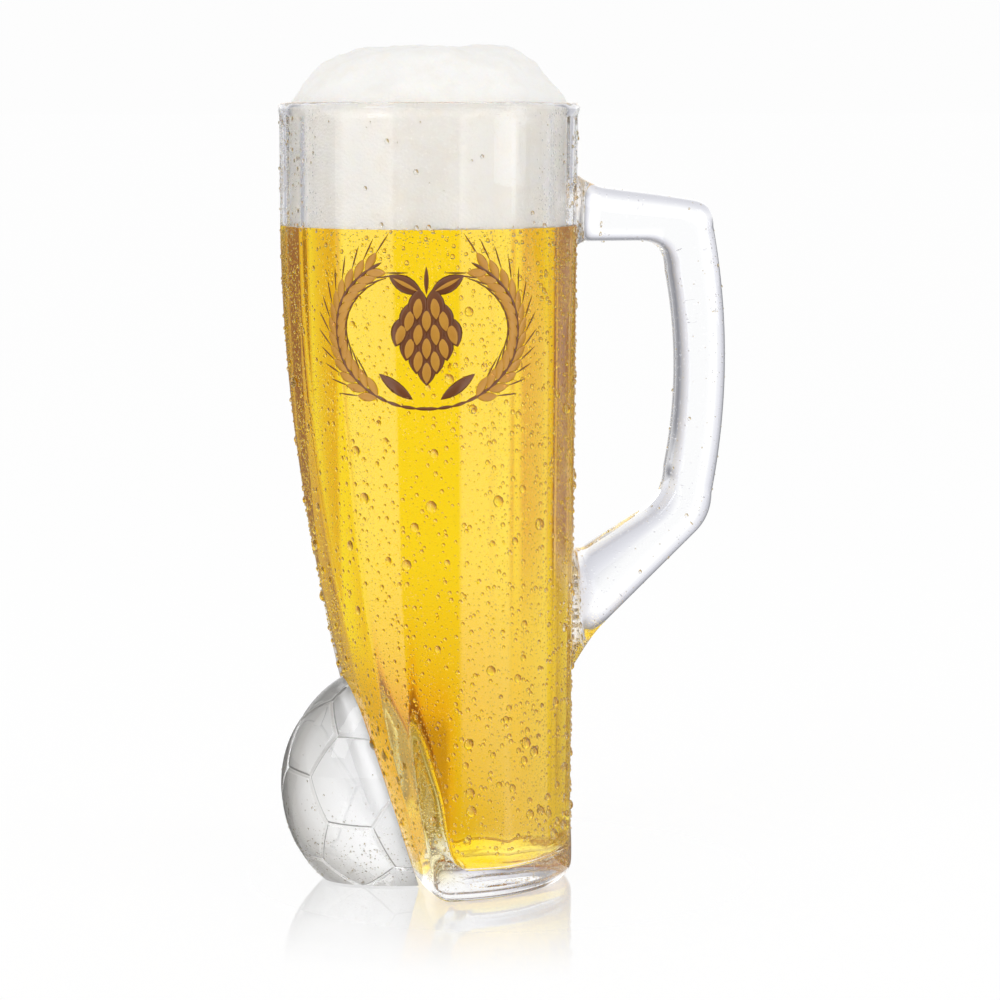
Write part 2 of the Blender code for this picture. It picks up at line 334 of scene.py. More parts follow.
corners = [(x * FLOOR_REACH, y * FLOOR_REACH, FLOOR_LEVEL) for x, y in ((-1, -1), (1, -1), (1, 1), (-1, 1))]
floor_mesh.from_pydata(corners, [], [(0, 1, 2, 3)])
floor_mesh.materials.append(floor_look)
floor = place_object("floor", floor_mesh)
print("floor laid,", 2.0 * FLOOR_REACH, "m wide")

# %% [markdown]
# ## The mug's own sizes
# The glass follows one rule all the way up: at each height the outline is half a circle on the
# handle's side and half a squared oval on the ball's side, which leans in toward the foot. The same
# sizes drove the solids, so the fine meshes fall on them. Only the dome of foam and the flare of the
# handle are shaped a little further here.

# %% Repeat the sizes
HEIGHT = 0.2000
RIM_RADIUS = 0.0385
FOOT_RADIUS = 0.0366
RIM_WALL = 0.0030
FOOT_WALL = 0.0042
BASE = 0.0070
EDGE_ROUND = 0.0040
FLOOR_ROUND = 0.0050
LEAN_TOP = 0.1730
FOOT_REACH = 0.0056
FOOT_SQUARENESS = 6.0
LEAST_REACH = 0.0010
FLATS = 16
FLATS_TOP = HEIGHT - 0.0020
FLATS_FADE = 0.0020
FLATS_BOTTOM = 0.0060
FLATS_RISE = 0.0160
HANDLE_REACH = 0.0776
BALL_RADIUS = 0.0328
BALL_DEPTH = 0.0208
BALL_OFFSET = RIM_RADIUS + 0.0008 - BALL_RADIUS
AXIS = Vector((-(HANDLE_REACH - BALL_OFFSET - BALL_RADIUS) / 2.0, 0.0, 0.0))
print("rim axis at x =", round(AXIS.x, 5))

# %% [markdown]
# ## One ring of the glass
# A ring is a list of points round the mug at one height. Each of the sixteen flats gets eight
# columns, and most of them crowd near its corners. The corner column itself is drawn in to the line
# between its neighbours, which rounds the edge as fire polishing does.

# %% Write the ring rule
FLAT_STEPS = np.array([0.0, 0.045, 0.12, 0.30, 0.50, 0.70, 0.88, 0.955])


def ramp(value, start, end):
    t = min(max((value - start) / (end - start), 0.0), 1.0)
    return t * t * (3.0 - 2.0 * t)


def between(values, start, end):
    """0 at the start and 1 at the end, with straight steps between, for a whole array."""
    return np.clip((values - start) / (end - start), 0.0, 1.0)


def wall_at(z):
    return FOOT_WALL + (RIM_WALL - FOOT_WALL) * z / HEIGHT


def outline(z, inset, angles, thicker=0.0):
    """The smooth outline at height z, set in from the skin, at the given angles from the handle."""
    setback = RIM_RADIUS - FOOT_REACH
    bend = (LEAN_TOP**2 + setback**2) / (2.0 * setback)
    drop = max(LEAN_TOP - z, 0.0)
    radius = FOOT_RADIUS + (RIM_RADIUS - FOOT_RADIUS) * z / HEIGHT - inset
    reach = RIM_RADIUS - bend + math.sqrt(bend**2 - drop**2) - inset - thicker
    left = max(reach, LEAST_REACH)
    centre = left - reach
    right = radius - centre
    depth = math.sqrt(radius**2 - centre**2)
    power = 2.0 / (2.0 + (FOOT_SQUARENESS - 2.0) * max(1.0 - left / radius, 0.0) ** 1.5)
    c, s = np.cos(angles), np.sin(angles)
    x = np.where(c >= 0.0, centre + right * c, centre - left * np.abs(c) ** power)
    y = np.where(c >= 0.0, depth * s, np.copysign(depth * np.abs(s) ** power, s))
    return np.stack([x, y, np.full_like(x, z)], axis=1)


def ring(z, inset, flats=0.0, thicker=0.0):
    corner_angles = np.arange(FLATS) * 2.0 * math.pi / FLATS
    angles = (corner_angles[:, None] + FLAT_STEPS * 2.0 * math.pi / FLATS).ravel()
    smooth = outline(z, inset, angles, thicker)
    corners = outline(z, inset, corner_angles, thicker)
    following = np.roll(corners, -1, axis=0)
    chords = corners[:, None] + (following - corners)[:, None] * FLAT_STEPS[None, :, None]
    flat = chords.reshape(-1, 3)
    columns = len(FLAT_STEPS)
    flat[::columns] = (np.roll(flat, 1, axis=0)[::columns] + flat[1::columns]) / 2.0
    return smooth + (flat - smooth) * flats


def flats_at(z):
    top = 1.0 - ramp(z, FLATS_TOP - FLATS_FADE, FLATS_TOP)
    return top * ramp(z, FLATS_BOTTOM, FLATS_BOTTOM + FLATS_RISE)


print("points in a ring:", len(ring(0.1, 0.0)))

# %% [markdown]
# ## From rings to a piece
# A loft joins each ring to the next with quads and closes the ends with a fan. Every piece is kept
# at the origin with its place in its points, then rides on the mug's one body and stands for its solid.

# %% Write the loft and the piece helpers
SHARP_EDGE = math.radians(35.0)


def neighbours(count):
    return [(i, (i + 1) % count) for i in range(count)]


def joined(low, count):
    """Quads between the ring of points that starts at low and the ring after it."""
    return [(low + i, low + j, low + count + j, low + count + i) for i, j in neighbours(count)]


def loft(rings):
    """Points and faces through rings of equal length, closed at both ends by a fan to their middle."""
    count = len(rings[0])
    points = np.concatenate(list(rings) + [rings[0].mean(0)[None], rings[-1].mean(0)[None]])
    faces = []
    last = (len(rings) - 1) * count
    for low in range(0, last, count):
        faces += joined(low, count)
    for i, j in neighbours(count):
        faces.append((j, i, len(points) - 2))
        faces.append((last + i, last + j, len(points) - 1))
    return points, faces


def smooth(mesh):
    """Shades a mesh smooth except along sharp edges."""
    mesh.shade_smooth()
    mesh.set_sharp_from_angle(angle=SHARP_EDGE)


def add_object(name, points, faces, look=None):
    """A mesh object in the row's frame, facing outwards, smooth except along sharp edges."""
    mesh = bpy.data.meshes.new(name)
    mesh.from_pydata((np.asarray(points) + np.array(AXIS)).tolist(), [], faces)
    shape = bmesh.new()
    shape.from_mesh(mesh)
    bmesh.ops.remove_doubles(shape, verts=shape.verts, dist=1e-7)
    bmesh.ops.recalc_face_normals(shape, faces=shape.faces)
    shape.to_mesh(mesh)
    shape.free()
    smooth(mesh)
    if look:
        mesh.materials.append(look)
    return place_object(name, mesh)


def finished(source, name):
    """The mesh of an object with its modifiers applied."""
    graph = bpy.context.evaluated_depsgraph_get()
    mesh = bpy.data.meshes.new_from_object(source.evaluated_get(graph))
    mesh.name = name
    return mesh


def trim(piece, cutter):
    """Cuts the cutter out of the piece, keeps the result as a plain mesh and removes the cutter."""
    modifier = piece.modifiers.new("trim", "BOOLEAN")
    modifier.operation = "DIFFERENCE"
    modifier.solver = "EXACT"
    modifier.material_mode = "TRANSFER"
    modifier.object = cutter
    if not cutter.data.materials:
        cutter.data.materials.append(piece.data.materials[0])
    mesh = finished(piece, piece.name)
    piece.modifiers.remove(modifier)
    piece.data = mesh
    smooth(mesh)
    bpy.data.objects.remove(cutter)


def settle(piece, slot, *nodes):
    """The piece rides on the mug and stands for these solids; the slot is not used."""
    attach(piece, "root")
    if nodes:
        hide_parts(*nodes)
    piece.data.calc_loop_triangles()
    print(piece.name, len(piece.data.loop_triangles), "triangles")

# %% [markdown]
# ## Clear glass with fine dew
# Soda-lime glass bends light by about 1.5 and is nearly colourless. Cold glass in warm air mists
# over: thousands of beads too small to model one by one. A shader node group draws them as bumps
# in the surface, from the cells of a Voronoi texture, and thins them out with a noise texture.

# %% Build the dew group
DEW_CELLS = 1500.0


def object_place(tree):
    return add_node(tree, "ShaderNodeTexCoord").outputs["Object"]


def noise(tree, scale, detail):
    inputs = {"Vector": object_place(tree), "Scale": scale, "Detail": detail}
    return add_node(tree, "ShaderNodeTexNoise", inputs).outputs["Fac"]


dew_group = bpy.data.node_groups.new("fine_dew", "ShaderNodeTree")
for label, side in (("Cells", "INPUT"), ("Amount", "INPUT"), ("Height", "OUTPUT"), ("Mist", "OUTPUT")):
    dew_group.interface.new_socket(label, in_out=side, socket_type="NodeSocketFloat")
given = dew_group.nodes.new("NodeGroupInput").outputs
cells = {"Vector": object_place(dew_group), "Scale": given["Cells"]}
beads = add_node(dew_group, "ShaderNodeTexVoronoi", cells).outputs
lot = add_node(dew_group, "ShaderNodeSeparateColor", {"Color": beads["Color"]}).outputs["Red"]
patches = fade(dew_group, noise(dew_group, 45.0, 3.0), 0.35, 0.65, 0.0, 1.0)
mist = calc(dew_group, "MULTIPLY", patches, given["Amount"])
dome = fade(dew_group, beads["Distance"], 0.05, 0.42, 1.0, 0.0)
bead = calc(dew_group, "MULTIPLY", dome, calc(dew_group, "LESS_THAN", lot, mist))
add_node(dew_group, "NodeGroupOutput", {"Height": bead, "Mist": mist})
print("dew group made")

# %% [markdown]
# ## The glass itself
# One Principled shader with full transmission is clear glass. The dew group bends its normals and mists
# it where a piece is marked for dew. Marks are attributes: one number on each point of a mesh, which
# the material reads back. The tints are painted light and shade in the glass's colour: gold and brown for
# the beer's light that thick glass picks up from around it, and a dark grey toward the ball's rim.

# %% Mix the glass
DEW_BUMP = {"Strength": 0.5, "Distance": 0.0002}
MIST_ROUGHNESS = 0.10
GLASS_BEND = 1.50
BEER_BEND = 1.34
CLEAR = (0.985, 0.99, 0.995)
# Painted beer light and shade: gold, then brown, where thick glass is marked amber.
AMBER = ((0.0, CLEAR), (0.5, (0.95, 0.77, 0.17)), (1.0, (0.22, 0.105, 0.004)))
# Painted shade: the ball's clear glass darkens toward its rim, by Layer Weight.
BALL_RIM_SHADE = (
    (0.0, CLEAR),
    (0.20, (0.74, 0.74, 0.73)),
    (0.34, (0.38, 0.37, 0.35)),
    (0.55, (0.13, 0.125, 0.115)),
    (0.85, (0.03, 0.028, 0.025)),
)


def principled(name, **values):
    """A new material with plain values set on its Principled shader's own sockets."""
    made = bpy.data.materials.new(name)
    made.use_nodes = True
    shader = made.node_tree.nodes["Principled BSDF"]
    for label, value in values.items():
        shader.inputs[label.replace("_", " ")].default_value = value
    return made, made.node_tree, shader


def plug(shader, **sockets):
    """Links these sockets to the shader's inputs of the same names."""
    for label, socket in sockets.items():
        shader.id_data.links.new(socket, shader.inputs[label.replace("_", " ")])


def marked(tree, name):
    """What was marked on the piece under this name, as a value for its material."""
    return add_node(tree, "ShaderNodeAttribute", attribute_name=name).outputs["Fac"]


def glass(name, amount, ior=GLASS_BEND, tints=None, rim=None):
    """Clear glass with dew, with painted beer light and shade where the piece is marked amber, or painted
    shade toward its rim.
    """
    look, tree, shader = principled(
        name, Base_Color=(*CLEAR, 1.0), Roughness=0.0, Transmission_Weight=1.0, IOR=ior
    )
    if tints:
        plug(shader, Base_Color=colour_ramp(tree, marked(tree, "amber"), tints))
    if rim:
        facing = add_node(tree, "ShaderNodeLayerWeight").outputs["Facing"]
        plug(shader, Base_Color=colour_ramp(tree, facing, rim))
    if not amount:
        return look
    levels = {"Amount": amount, "Cells": DEW_CELLS}
    dew = add_node(tree, "ShaderNodeGroup", levels, node_tree=dew_group).outputs
    where = marked(tree, "dew")
    height = calc(tree, "MULTIPLY", dew["Height"], where)
    bump = add_node(tree, "ShaderNodeBump", {**DEW_BUMP, "Height": height})
    rough = calc(tree, "MULTIPLY", calc(tree, "MULTIPLY", dew["Mist"], where), MIST_ROUGHNESS)
    plug(shader, Normal=bump.outputs["Normal"], Roughness=rough)
    return look


def mark(piece, name, values):
    """Writes one value to each point of the piece, for materials and scatters to read."""
    layer = piece.data.attributes.new(name, "FLOAT", "POINT")
    layer.data.foreach_set("value", np.asarray(values, np.float32))


def points_of(mesh):
    flat = np.empty(len(mesh.vertices) * 3, np.float32)
    mesh.vertices.foreach_get("co", flat)
    return flat.reshape(-1, 3).astype(float)


body_glass = glass("body_glass", 0.7, tints=AMBER)
print("glass with", DEW_CELLS, "dew cells to the metre")

# %% [markdown]
# ## The glass body
# The wall is one closed skin: up the outside from the dished foot, over the round lip and down the
# inside to the thick floor. The outside carries the flats, which fade into a round lip at the top and
# a round foot. The inside is plain, because a smooth plunger presses it, and the wall is thicker where
# the ball leans on it.

# %% Write the rings of the wall
BEER_LEVEL = 0.1692
DISH_RADIUS = 0.0125
DISH_DEPTH = 0.0010
DISH_CENTRE = np.array([0.0170, 0.0, 0.0])
BALL_WALL = 0.0074
BALL_WALL_FOOT = 0.60
BALL_WALL_FULL = 0.0280
BALL_WALL_THINS = 0.0380
BALL_WALL_ENDS = 0.0660
WETTED = 0.00008


def spread(start, end, count):
    return np.linspace(start, end, count).tolist()


def sweep(start, end, count):
    """The sine and cosine of angles spread between two, given in degrees."""
    return [(math.sin(a), math.cos(a)) for a in map(math.radians, spread(start, end, count))]


def foot_rings():
    """Rings from the middle of the foot out to its edge, raised over the dish."""
    edge = ring(0.0, EDGE_ROUND)
    rings = []
    for share in spread(0.04, 0.96, 22):
        flat = DISH_CENTRE + (edge - DISH_CENTRE) * share
        away = np.linalg.norm(flat - DISH_CENTRE, axis=1) / DISH_RADIUS
        flat[:, 2] = DISH_DEPTH * np.clip(1.0 - away**2, 0.0, 1.0)
        rings.append(flat)
    return rings


def ball_wall_at(z):
    """What the wall behind the ball has on top of the wall elsewhere."""
    swell = BALL_WALL_FOOT + (1.0 - BALL_WALL_FOOT) * ramp(z, BASE, BALL_WALL_FULL)
    return BALL_WALL * swell * (1.0 - ramp(z, BALL_WALL_THINS, BALL_WALL_ENDS))


def inner_rings(gap, top, count=100):
    """Rings up the inside of the glass. A gap below zero sinks them into the wall."""
    rings = []
    floor_edge = ring(BASE + gap, wall_at(BASE) + FLOOR_ROUND + gap, thicker=ball_wall_at(BASE))
    middle = floor_edge.mean(0)
    rings += [middle + (floor_edge - middle) * share for share in spread(0.06, 0.92, 8)]
    for sine, cosine in sweep(0.0, 90.0, 9):
        z = BASE + FLOOR_ROUND * (1.0 - cosine)
        inset = wall_at(z) + FLOOR_ROUND * (1.0 - sine)
        rings.append(ring(z + gap * cosine, inset + gap, thicker=ball_wall_at(z)))
    heights = spread(BASE + FLOOR_ROUND, BEER_LEVEL, count)[1:]
    if top > BEER_LEVEL:
        heights += spread(BEER_LEVEL, top, 12)[1:]
    return rings + [ring(z, wall_at(z) + gap, thicker=ball_wall_at(z)) for z in heights]


def skin_rings(grow=0.0, low=EDGE_ROUND, top=FLATS_TOP, count=90):
    flats_full = FLATS_BOTTOM + FLATS_RISE
    heights = spread(low, flats_full, 16) + spread(flats_full, top - FLATS_FADE, count)[1:]
    heights += spread(top - FLATS_FADE, top, 6)[1:]
    return [ring(z, -grow, flats_at(z)) for z in heights]


print("rings up the outside and the inside:", len(skin_rings()), len(inner_rings(0.0, HEIGHT)))

# %% [markdown]
# ## Painted amber at the corner
# Thick glass at the corner by the ball looks golden and brown, with the beer all round it. Bending alone
# doesn't show that here, so those points are marked for an amber tint, which paints the beer's light and
# the shade at the corners into the glass. Below the beer line, the inner
# skin bends by the ratio of glass to beer, because no air lies between the two.

# %% Loft the body
FRONT_AMBER = 0.42
WALL_AMBER = 0.5
CORNER_AMBER = 0.3
body_rings = foot_rings()
for sine, cosine in sweep(0.0, 90.0, 9)[:-1]:
    body_rings.append(ring(EDGE_ROUND * (1.0 - cosine), EDGE_ROUND * (1.0 - sine)))
body_rings += skin_rings()
outside = len(body_rings) * len(body_rings[0])
lip = RIM_WALL / 2.0
for sine, cosine in sweep(10.0, 170.0, 13):
    body_rings.append(ring(HEIGHT - lip + lip * sine, lip * (1.0 - cosine)))
body_rings += reversed(inner_rings(0.0, HEIGHT - lip))
body = add_object("glass_mug", *loft(body_rings), body_glass)
mark(body, "dew", np.arange(len(body.data.vertices)) < outside)
x, y, z = (points_of(body.data) - np.array(AXIS)).T
# Painted beer light on the outer skin by the ball, weaker in front.
beside_ball = between(x, 0.002, -0.004) * between(np.abs(y), 0.006, 0.012)
beside_ball *= np.where(y > 0.0, 1.0, FRONT_AMBER)
beside_ball *= between(z, BALL_WALL_ENDS, BALL_WALL_ENDS - 0.012) * between(z, 0.004, 0.008)
# Painted beer light inside the thick wall by the ball, with painted shade toward its corners.
painted_amber_inside = between(x, 0.001, -0.002) * (WALL_AMBER + CORNER_AMBER * between(np.abs(y), 0.021, 0.027))
painted_amber_inside *= between(z, 0.058, 0.044) * between(z, 0.0068, 0.0088)
mark(body, "amber", np.where(np.arange(len(x)) < outside, beside_ball, painted_amber_inside))
body.data.materials.append(glass("wetted_glass", 0.0, ior=GLASS_BEND / BEER_BEND, tints=AMBER))
for face in body.data.polygons:
    if face.vertices[0] >= outside and face.center.z < BEER_LEVEL:
        face.material_index = 1
settle(body, "clear_glass", "glass_body")

# %% [markdown]
# ## The handle
# The handle is pressed from a second gather of glass and fused on. It is a band of rounded
# rectangular section between two edge lines that are straight along the arms, round at the bends
# and bowed along the grip. The ends flare into the wall, and are cut just under its skin, because
# light passes from one glass into the other without an air gap.

# %% Loft the handle
GRIP_WIDTH = 0.0117
GRIP_DEPTH = 0.0150
GRIP_BOW = 0.0034
HANDLE_TOP = 0.1745
ARM_SLOPE = 0.0048
ARM_WIDTH = 0.0100
HANDLE_FOOT = 0.0925
LOWER_RISE = 0.0050
UPPER_ROOT = 0.0150
LOWER_ROOT = 0.0250
LOWER_DROP = 0.0342
OUTER_BEND = 0.0060
INNER_BEND = 0.0080
ROOT_FLARE = 0.0014
FLARE_REACH = 0.0050
GRIP_SQUARENESS = 3.0
FUSED = 0.00015


def arc(start, pull, end, count):
    t = np.linspace(0.0, 1.0, count)[:, None]
    return (start * (1 - t) + pull * t) * (1 - t) + (pull * (1 - t) + end * t) * t


def edge_line(root, upper, lower, end, bend, bow):
    """One edge of the handle through its root, two corners and other root, with the corners rounded."""
    grip = (lower - upper) / np.linalg.norm(lower - upper)
    first_in = upper + (root - upper) / np.linalg.norm(root - upper) * bend
    first_out, last_in = upper + grip * bend, lower - grip * bend
    last_out = lower + (end - lower) / np.linalg.norm(end - lower) * bend
    middle = (first_out + last_in) / 2.0 + np.array([2.0 * bow, 0.0])
    return np.concatenate(
        [
            arc(root, (root + first_in) / 2.0, first_in, 28)[:-1],
            arc(first_in, upper, first_out, 14)[:-1],
            arc(first_out, middle, last_in, 36)[:-1],
            arc(last_in, lower, last_out, 14)[:-1],
            arc(last_out, (last_out + end) / 2.0, end, 34),
        ]
    )


def handle_rings():
    back = HANDLE_REACH - GRIP_BOW
    inside = back - GRIP_WIDTH
    sunk = RIM_RADIUS - 0.004
    share = (RIM_RADIUS - sunk) / (back - RIM_RADIUS)
    upper, lower = HANDLE_TOP + ARM_SLOPE, HANDLE_FOOT - LOWER_DROP
    outer_corners = (
        (sunk, upper + share * ARM_SLOPE),
        (back, HANDLE_TOP),
        (back, HANDLE_FOOT),
        (sunk, lower - share * LOWER_DROP),
    )
    inner_corners = (
        (sunk, upper - UPPER_ROOT),
        (inside, HANDLE_TOP - ARM_WIDTH),
        (inside, HANDLE_FOOT + LOWER_RISE),
        (sunk, lower + LOWER_ROOT - share * LOWER_DROP / 2.0),
    )
    outer = edge_line(*map(np.array, outer_corners), OUTER_BEND, GRIP_BOW)
    inner = edge_line(*map(np.array, inner_corners), INNER_BEND, GRIP_BOW * 0.75)
    turns = np.linspace(0.0, 2.0 * math.pi, 48, endpoint=False)
    power = 2.0 / GRIP_SQUARENESS
    along = np.copysign(np.abs(np.cos(turns)) ** power, np.cos(turns))[:, None]
    across = np.copysign(np.abs(np.sin(turns)) ** power, np.sin(turns))
    rings = []
    for far, near in zip(outer, inner):
        middle, half = (far + near) / 2.0, (far - near) / 2.0
        flare = ROOT_FLARE * max(1.0 - (middle[0] - RIM_RADIUS) / FLARE_REACH, 0.0) ** 2
        flare = min(flare, 2.0 * ROOT_FLARE)
        flat = middle + half * (1.0 + flare / np.linalg.norm(half)) * along
        rings.append(np.stack([flat[:, 0], (GRIP_DEPTH / 2.0 + flare) * across, flat[:, 1]], axis=1))
    return rings


def under_skin(sink, look=None):
    """A cutter in the shape of the outside of the glass, so that what it trims sinks in a little."""
    return add_object("under_skin", *loft(skin_rings(-sink, -0.006, HEIGHT - 0.004)), look)


handle_glass = glass("handle_glass", 0.25)
handle = add_object("handle_loop", *loft(handle_rings()), handle_glass)
trim(handle, under_skin(FUSED))
mark(handle, "dew", np.ones(len(handle.data.vertices)))
settle(handle, "clear_glass", "handle")

# %% [markdown]
# ## The football
# Half a football stands against the foot, solid glass with engraved seams. A football is a
# truncated icosahedron blown up to a sphere: twelve five-sided and twenty six-sided panels. Each
# panel is built from rows that follow its own border, so the groove along a seam stays crisp, and the
# panel swells a little toward its middle.

# %% Build the panels
BALL_HEIGHT = 0.0242
BALL_TURN = (-87.9, -27.0, -52.6)
SEAM_WIDTH = 0.0016
SEAM_DEPTH = 0.0006
PANEL_SWELL = 0.0003
SEAM_STEPS = 14


def football_faces():
    """The corners of the panels, cut at thirds along the edges of an icosahedron."""
    golden = (1.0 + math.sqrt(5.0)) / 2.0
    corners = []
    for a in (-1.0, 1.0):
        for b in (-golden, golden):
            corners += [Vector((0.0, a, b)), Vector((a, b, 0.0)), Vector((b, 0.0, a))]
    near = {i: [j for j in range(12) if 0.1 < (corners[i] - corners[j]).length < 2.1] for i in range(12)}
    faces = []
    for i in range(12):
        for j in near[i]:
            for k in near[j]:
                if i < j < k and k in near[i]:
                    loop = (corners[i], corners[j], corners[k])
                    sides = zip(loop, loop[1:] + loop[:1])
                    faces.append([start.lerp(end, t) for start, end in sides for t in (1 / 3, 2 / 3)])
        tip = corners[i]
        across = (corners[near[i][0]] - tip).normalized()
        side = tip.normalized().cross(across)
        order = sorted(
            (corners[n] for n in near[i]),
            key=lambda c: math.atan2((c - tip).dot(side), (c - tip).dot(across)),
        )
        faces.append([tip.lerp(corner, 1 / 3) for corner in order])
    return faces


def panel_rings(corners):
    """Rows of points from a panel's border to its middle, with the groove and the swell."""
    middle = sum(corners, Vector()) / len(corners)
    apothem = (middle - (corners[0] + corners[1]) / 2.0).length * BALL_RADIUS / corners[0].length
    border = []
    for i, corner in enumerate(corners):
        following = corners[(i + 1) % len(corners)]
        border += [corner.lerp(following, k / SEAM_STEPS) for k in range(SEAM_STEPS)]
    half = SEAM_WIDTH / 2.0
    depths = [half * s for s in (0.0, 0.25, 0.5, 0.75, 1.0, 1.25)] + spread(half * 2.0, apothem * 0.93, 7)
    rows = []
    for depth in depths:
        share = 1.0 - depth / apothem
        groove = SEAM_DEPTH * (1.0 - ramp(depth, 0.0, half))
        reach = BALL_RADIUS - groove - PANEL_SWELL * share**2
        rows.append(np.array([middle.lerp(p, share).normalized() * reach for p in border]))
    rows.append(np.array([middle.normalized() * BALL_RADIUS]))
    return rows


def football_mesh():
    points, faces, panels = [], [], []
    for corners in football_faces():
        rows = panel_rings(corners)
        first = len(faces)
        count = len(rows[0])
        low = sum(map(len, points))
        points += rows
        last = low + (len(rows) - 2) * count
        for start in range(low, last, count):
            faces += joined(start, count)
        faces += [(last + i, last + j, last + count) for i, j in neighbours(count)]
        panels.append(slice(first, len(faces)))
    turn = np.array(Euler([math.radians(a) for a in BALL_TURN], "XYZ").to_matrix())
    press = np.array([1.0, BALL_DEPTH / BALL_RADIUS, 1.0])
    points = np.concatenate(points) @ turn.T * press + np.array([-BALL_OFFSET, 0.0, BALL_HEIGHT])
    return points, faces, panels


ball_points, ball_faces, ball_panels = football_mesh()
print(len(ball_panels), "panels")

# %% [markdown]
# ## Glass and opal on the ball
# All-clear glass would show the beer and the far seams through the front of the ball. So the far panels
# are opal, with painted shade that greys them away from their middle, the face on the mug is milky inside
# and amber outside, where the amber is painted beer light seen through the wall, and the clear front
# gets a painted dark shade toward its rim. The ball is cut level with the table and along the mug's skin.

# %% Make the ball
SEAM_GAP = 0.0001
OPAL_FROM = (-0.026, 0.004)
MILK_SHIFT = Vector((0.006, 0.0, -0.005))
BALL_CENTRE = AXIS + Vector((-BALL_OFFSET, 0.0, BALL_HEIGHT))
# Painted shade: the opal greys away from a middle moved down and toward the mug.
MILK_AND_SHADE = (
    (0.00, (0.985, 0.985, 0.99)),
    (0.50, (0.98, 0.98, 0.985)),
    (0.80, (0.95, 0.945, 0.935)),
    (0.98, (0.80, 0.79, 0.77)),
    (1.12, (0.40, 0.39, 0.375)),
)
SEAM_MILK = ((0.0, (0.95, 0.95, 0.96)), (1.0, (0.93, 0.93, 0.94)))
# Painted beer light: the amber outer side of the face on the mug, seen through the wall.
SEAM_AMBER = ((0.0, (0.62, 0.38, 0.10)), (0.7, (0.80, 0.56, 0.20)))


def below_table():
    wide, deep = 2.0 * RIM_RADIUS, 0.03
    low = np.array([(x, y, -deep) for x, y in ((-wide, -wide), (wide, -wide), (wide, wide), (-wide, wide))])
    return add_object("below_table", *loft([low, low + np.array([0.0, 0.0, deep])]))


def milky(name, roughness, stops, outer_stops=None):
    """Opal glass with painted shade that greys it away from the ball's middle, with another colour on its
    outer side.
    """
    look, tree, shader = principled(name, Roughness=roughness)

    def vector_math(operation, *values):
        return add_node(tree, "ShaderNodeVectorMath", dict(enumerate(values)), operation=operation).outputs

    apart = vector_math("SUBTRACT", object_place(tree), BALL_CENTRE + MILK_SHIFT)[0]
    flat = vector_math("MULTIPLY", apart, (1.0 / BALL_RADIUS, 0.0, 1.0 / BALL_RADIUS))[0]
    rim = vector_math("LENGTH", flat)["Value"]
    cloud_and_shade = calc(tree, "MULTIPLY_ADD", noise(tree, 70.0, 3.0), 0.12, rim)
    shade = colour_ramp(tree, calc(tree, "SUBTRACT", cloud_and_shade, 0.06), stops)
    if outer_stops:
        inner = add_node(tree, "ShaderNodeNewGeometry").outputs["Backfacing"]
        shade = choose(tree, inner, shade, colour_ramp(tree, noise(tree, 90.0, 3.0), outer_stops))
    plug(shader, Base_Color=shade)
    return look


seam_look = milky("milky_seam", 0.6, SEAM_MILK, SEAM_AMBER)
back_look = milky("opal_back", 0.12, MILK_AND_SHADE)
ball_glass = glass("ball_glass", 0.8, rim=BALL_RIM_SHADE)
ball = add_object("glass_football", ball_points, ball_faces, ball_glass)
ball.data.materials.append(back_look)
for panel in ball_panels:
    patch = ball.data.polygons[panel]
    middle = sum((face.center for face in patch), Vector()) / len(patch) - BALL_CENTRE
    if middle.x > OPAL_FROM[0] and middle.y > OPAL_FROM[1]:
        for face in patch:
            face.material_index = 1
trim(ball, below_table())
trim(ball, under_skin(-SEAM_GAP, seam_look))
mark(ball, "dew", between(points_of(ball.data)[:, 2], 0.03, 0.0))
settle(ball, "clear_glass", "football")

# %% [markdown]
# ## The beer
# Beer is clear too. It takes its gold from what it swallows along the way: almost all blue light,
# some green and hardly any red, so thin parts look pale and long paths look amber. A Volume
# Absorption node does exactly that. The beer's own surface bends nothing, because the inner skin of the
# glass already does, and the mesh stays a hair inside it.

# %% Pour the beer
beer_look, beer_tree, _ = principled(
    "pale_beer", Base_Color=(1.0, 1.0, 1.0, 1.0), Roughness=0.0, Transmission_Weight=1.0, IOR=1.0
)
gold = {"Color": (0.997, 0.920, 0.0, 1.0), "Density": 72.0}
absorb = add_node(beer_tree, "ShaderNodeVolumeAbsorption", gold)
beer_tree.links.new(absorb.outputs["Volume"], beer_tree.nodes["Material Output"].inputs["Volume"])
beer_rings = inner_rings(WETTED, BEER_LEVEL)
top_edge = beer_rings[-1]
middle = top_edge.mean(0)
beer_rings += [middle + (top_edge - middle) * share for share in spread(0.9, 0.1, 6)]
beer = add_object("beer_fill", *loft(beer_rings), beer_look)
settle(beer, "beer", "beer")

# %% [markdown]
# ## The foam
# Foam is so many tiny bubbles that light scatters until it comes out white and soft. The head fills
# the glass from the beer to the rim and stands above it in a lumpy dome. The mesh is a fine loft with
# seeded waves pushed into it, and the shader adds subsurface scattering and a bubbly bump.

# %% Shape the head of foam
DOME_HEIGHT = 0.0138
DOME_POWER = 4.8
DOME_SOFTNESS = 1.10
FOAM_CELLS = 1400.0


def lumps(points, seed, size, count=40):
    """A smooth wavy field, from a seeded sum of plane waves of about the given size."""
    draw = np.random.default_rng(seed)
    field = np.zeros(len(points))
    for _ in range(count):
        way = draw.normal(size=3)
        way *= 2.0 * math.pi / (size * draw.uniform(0.7, 1.6)) / np.linalg.norm(way)
        field += np.sin(points @ way + draw.uniform(0.0, 2.0 * math.pi))
    return field / math.sqrt(count)


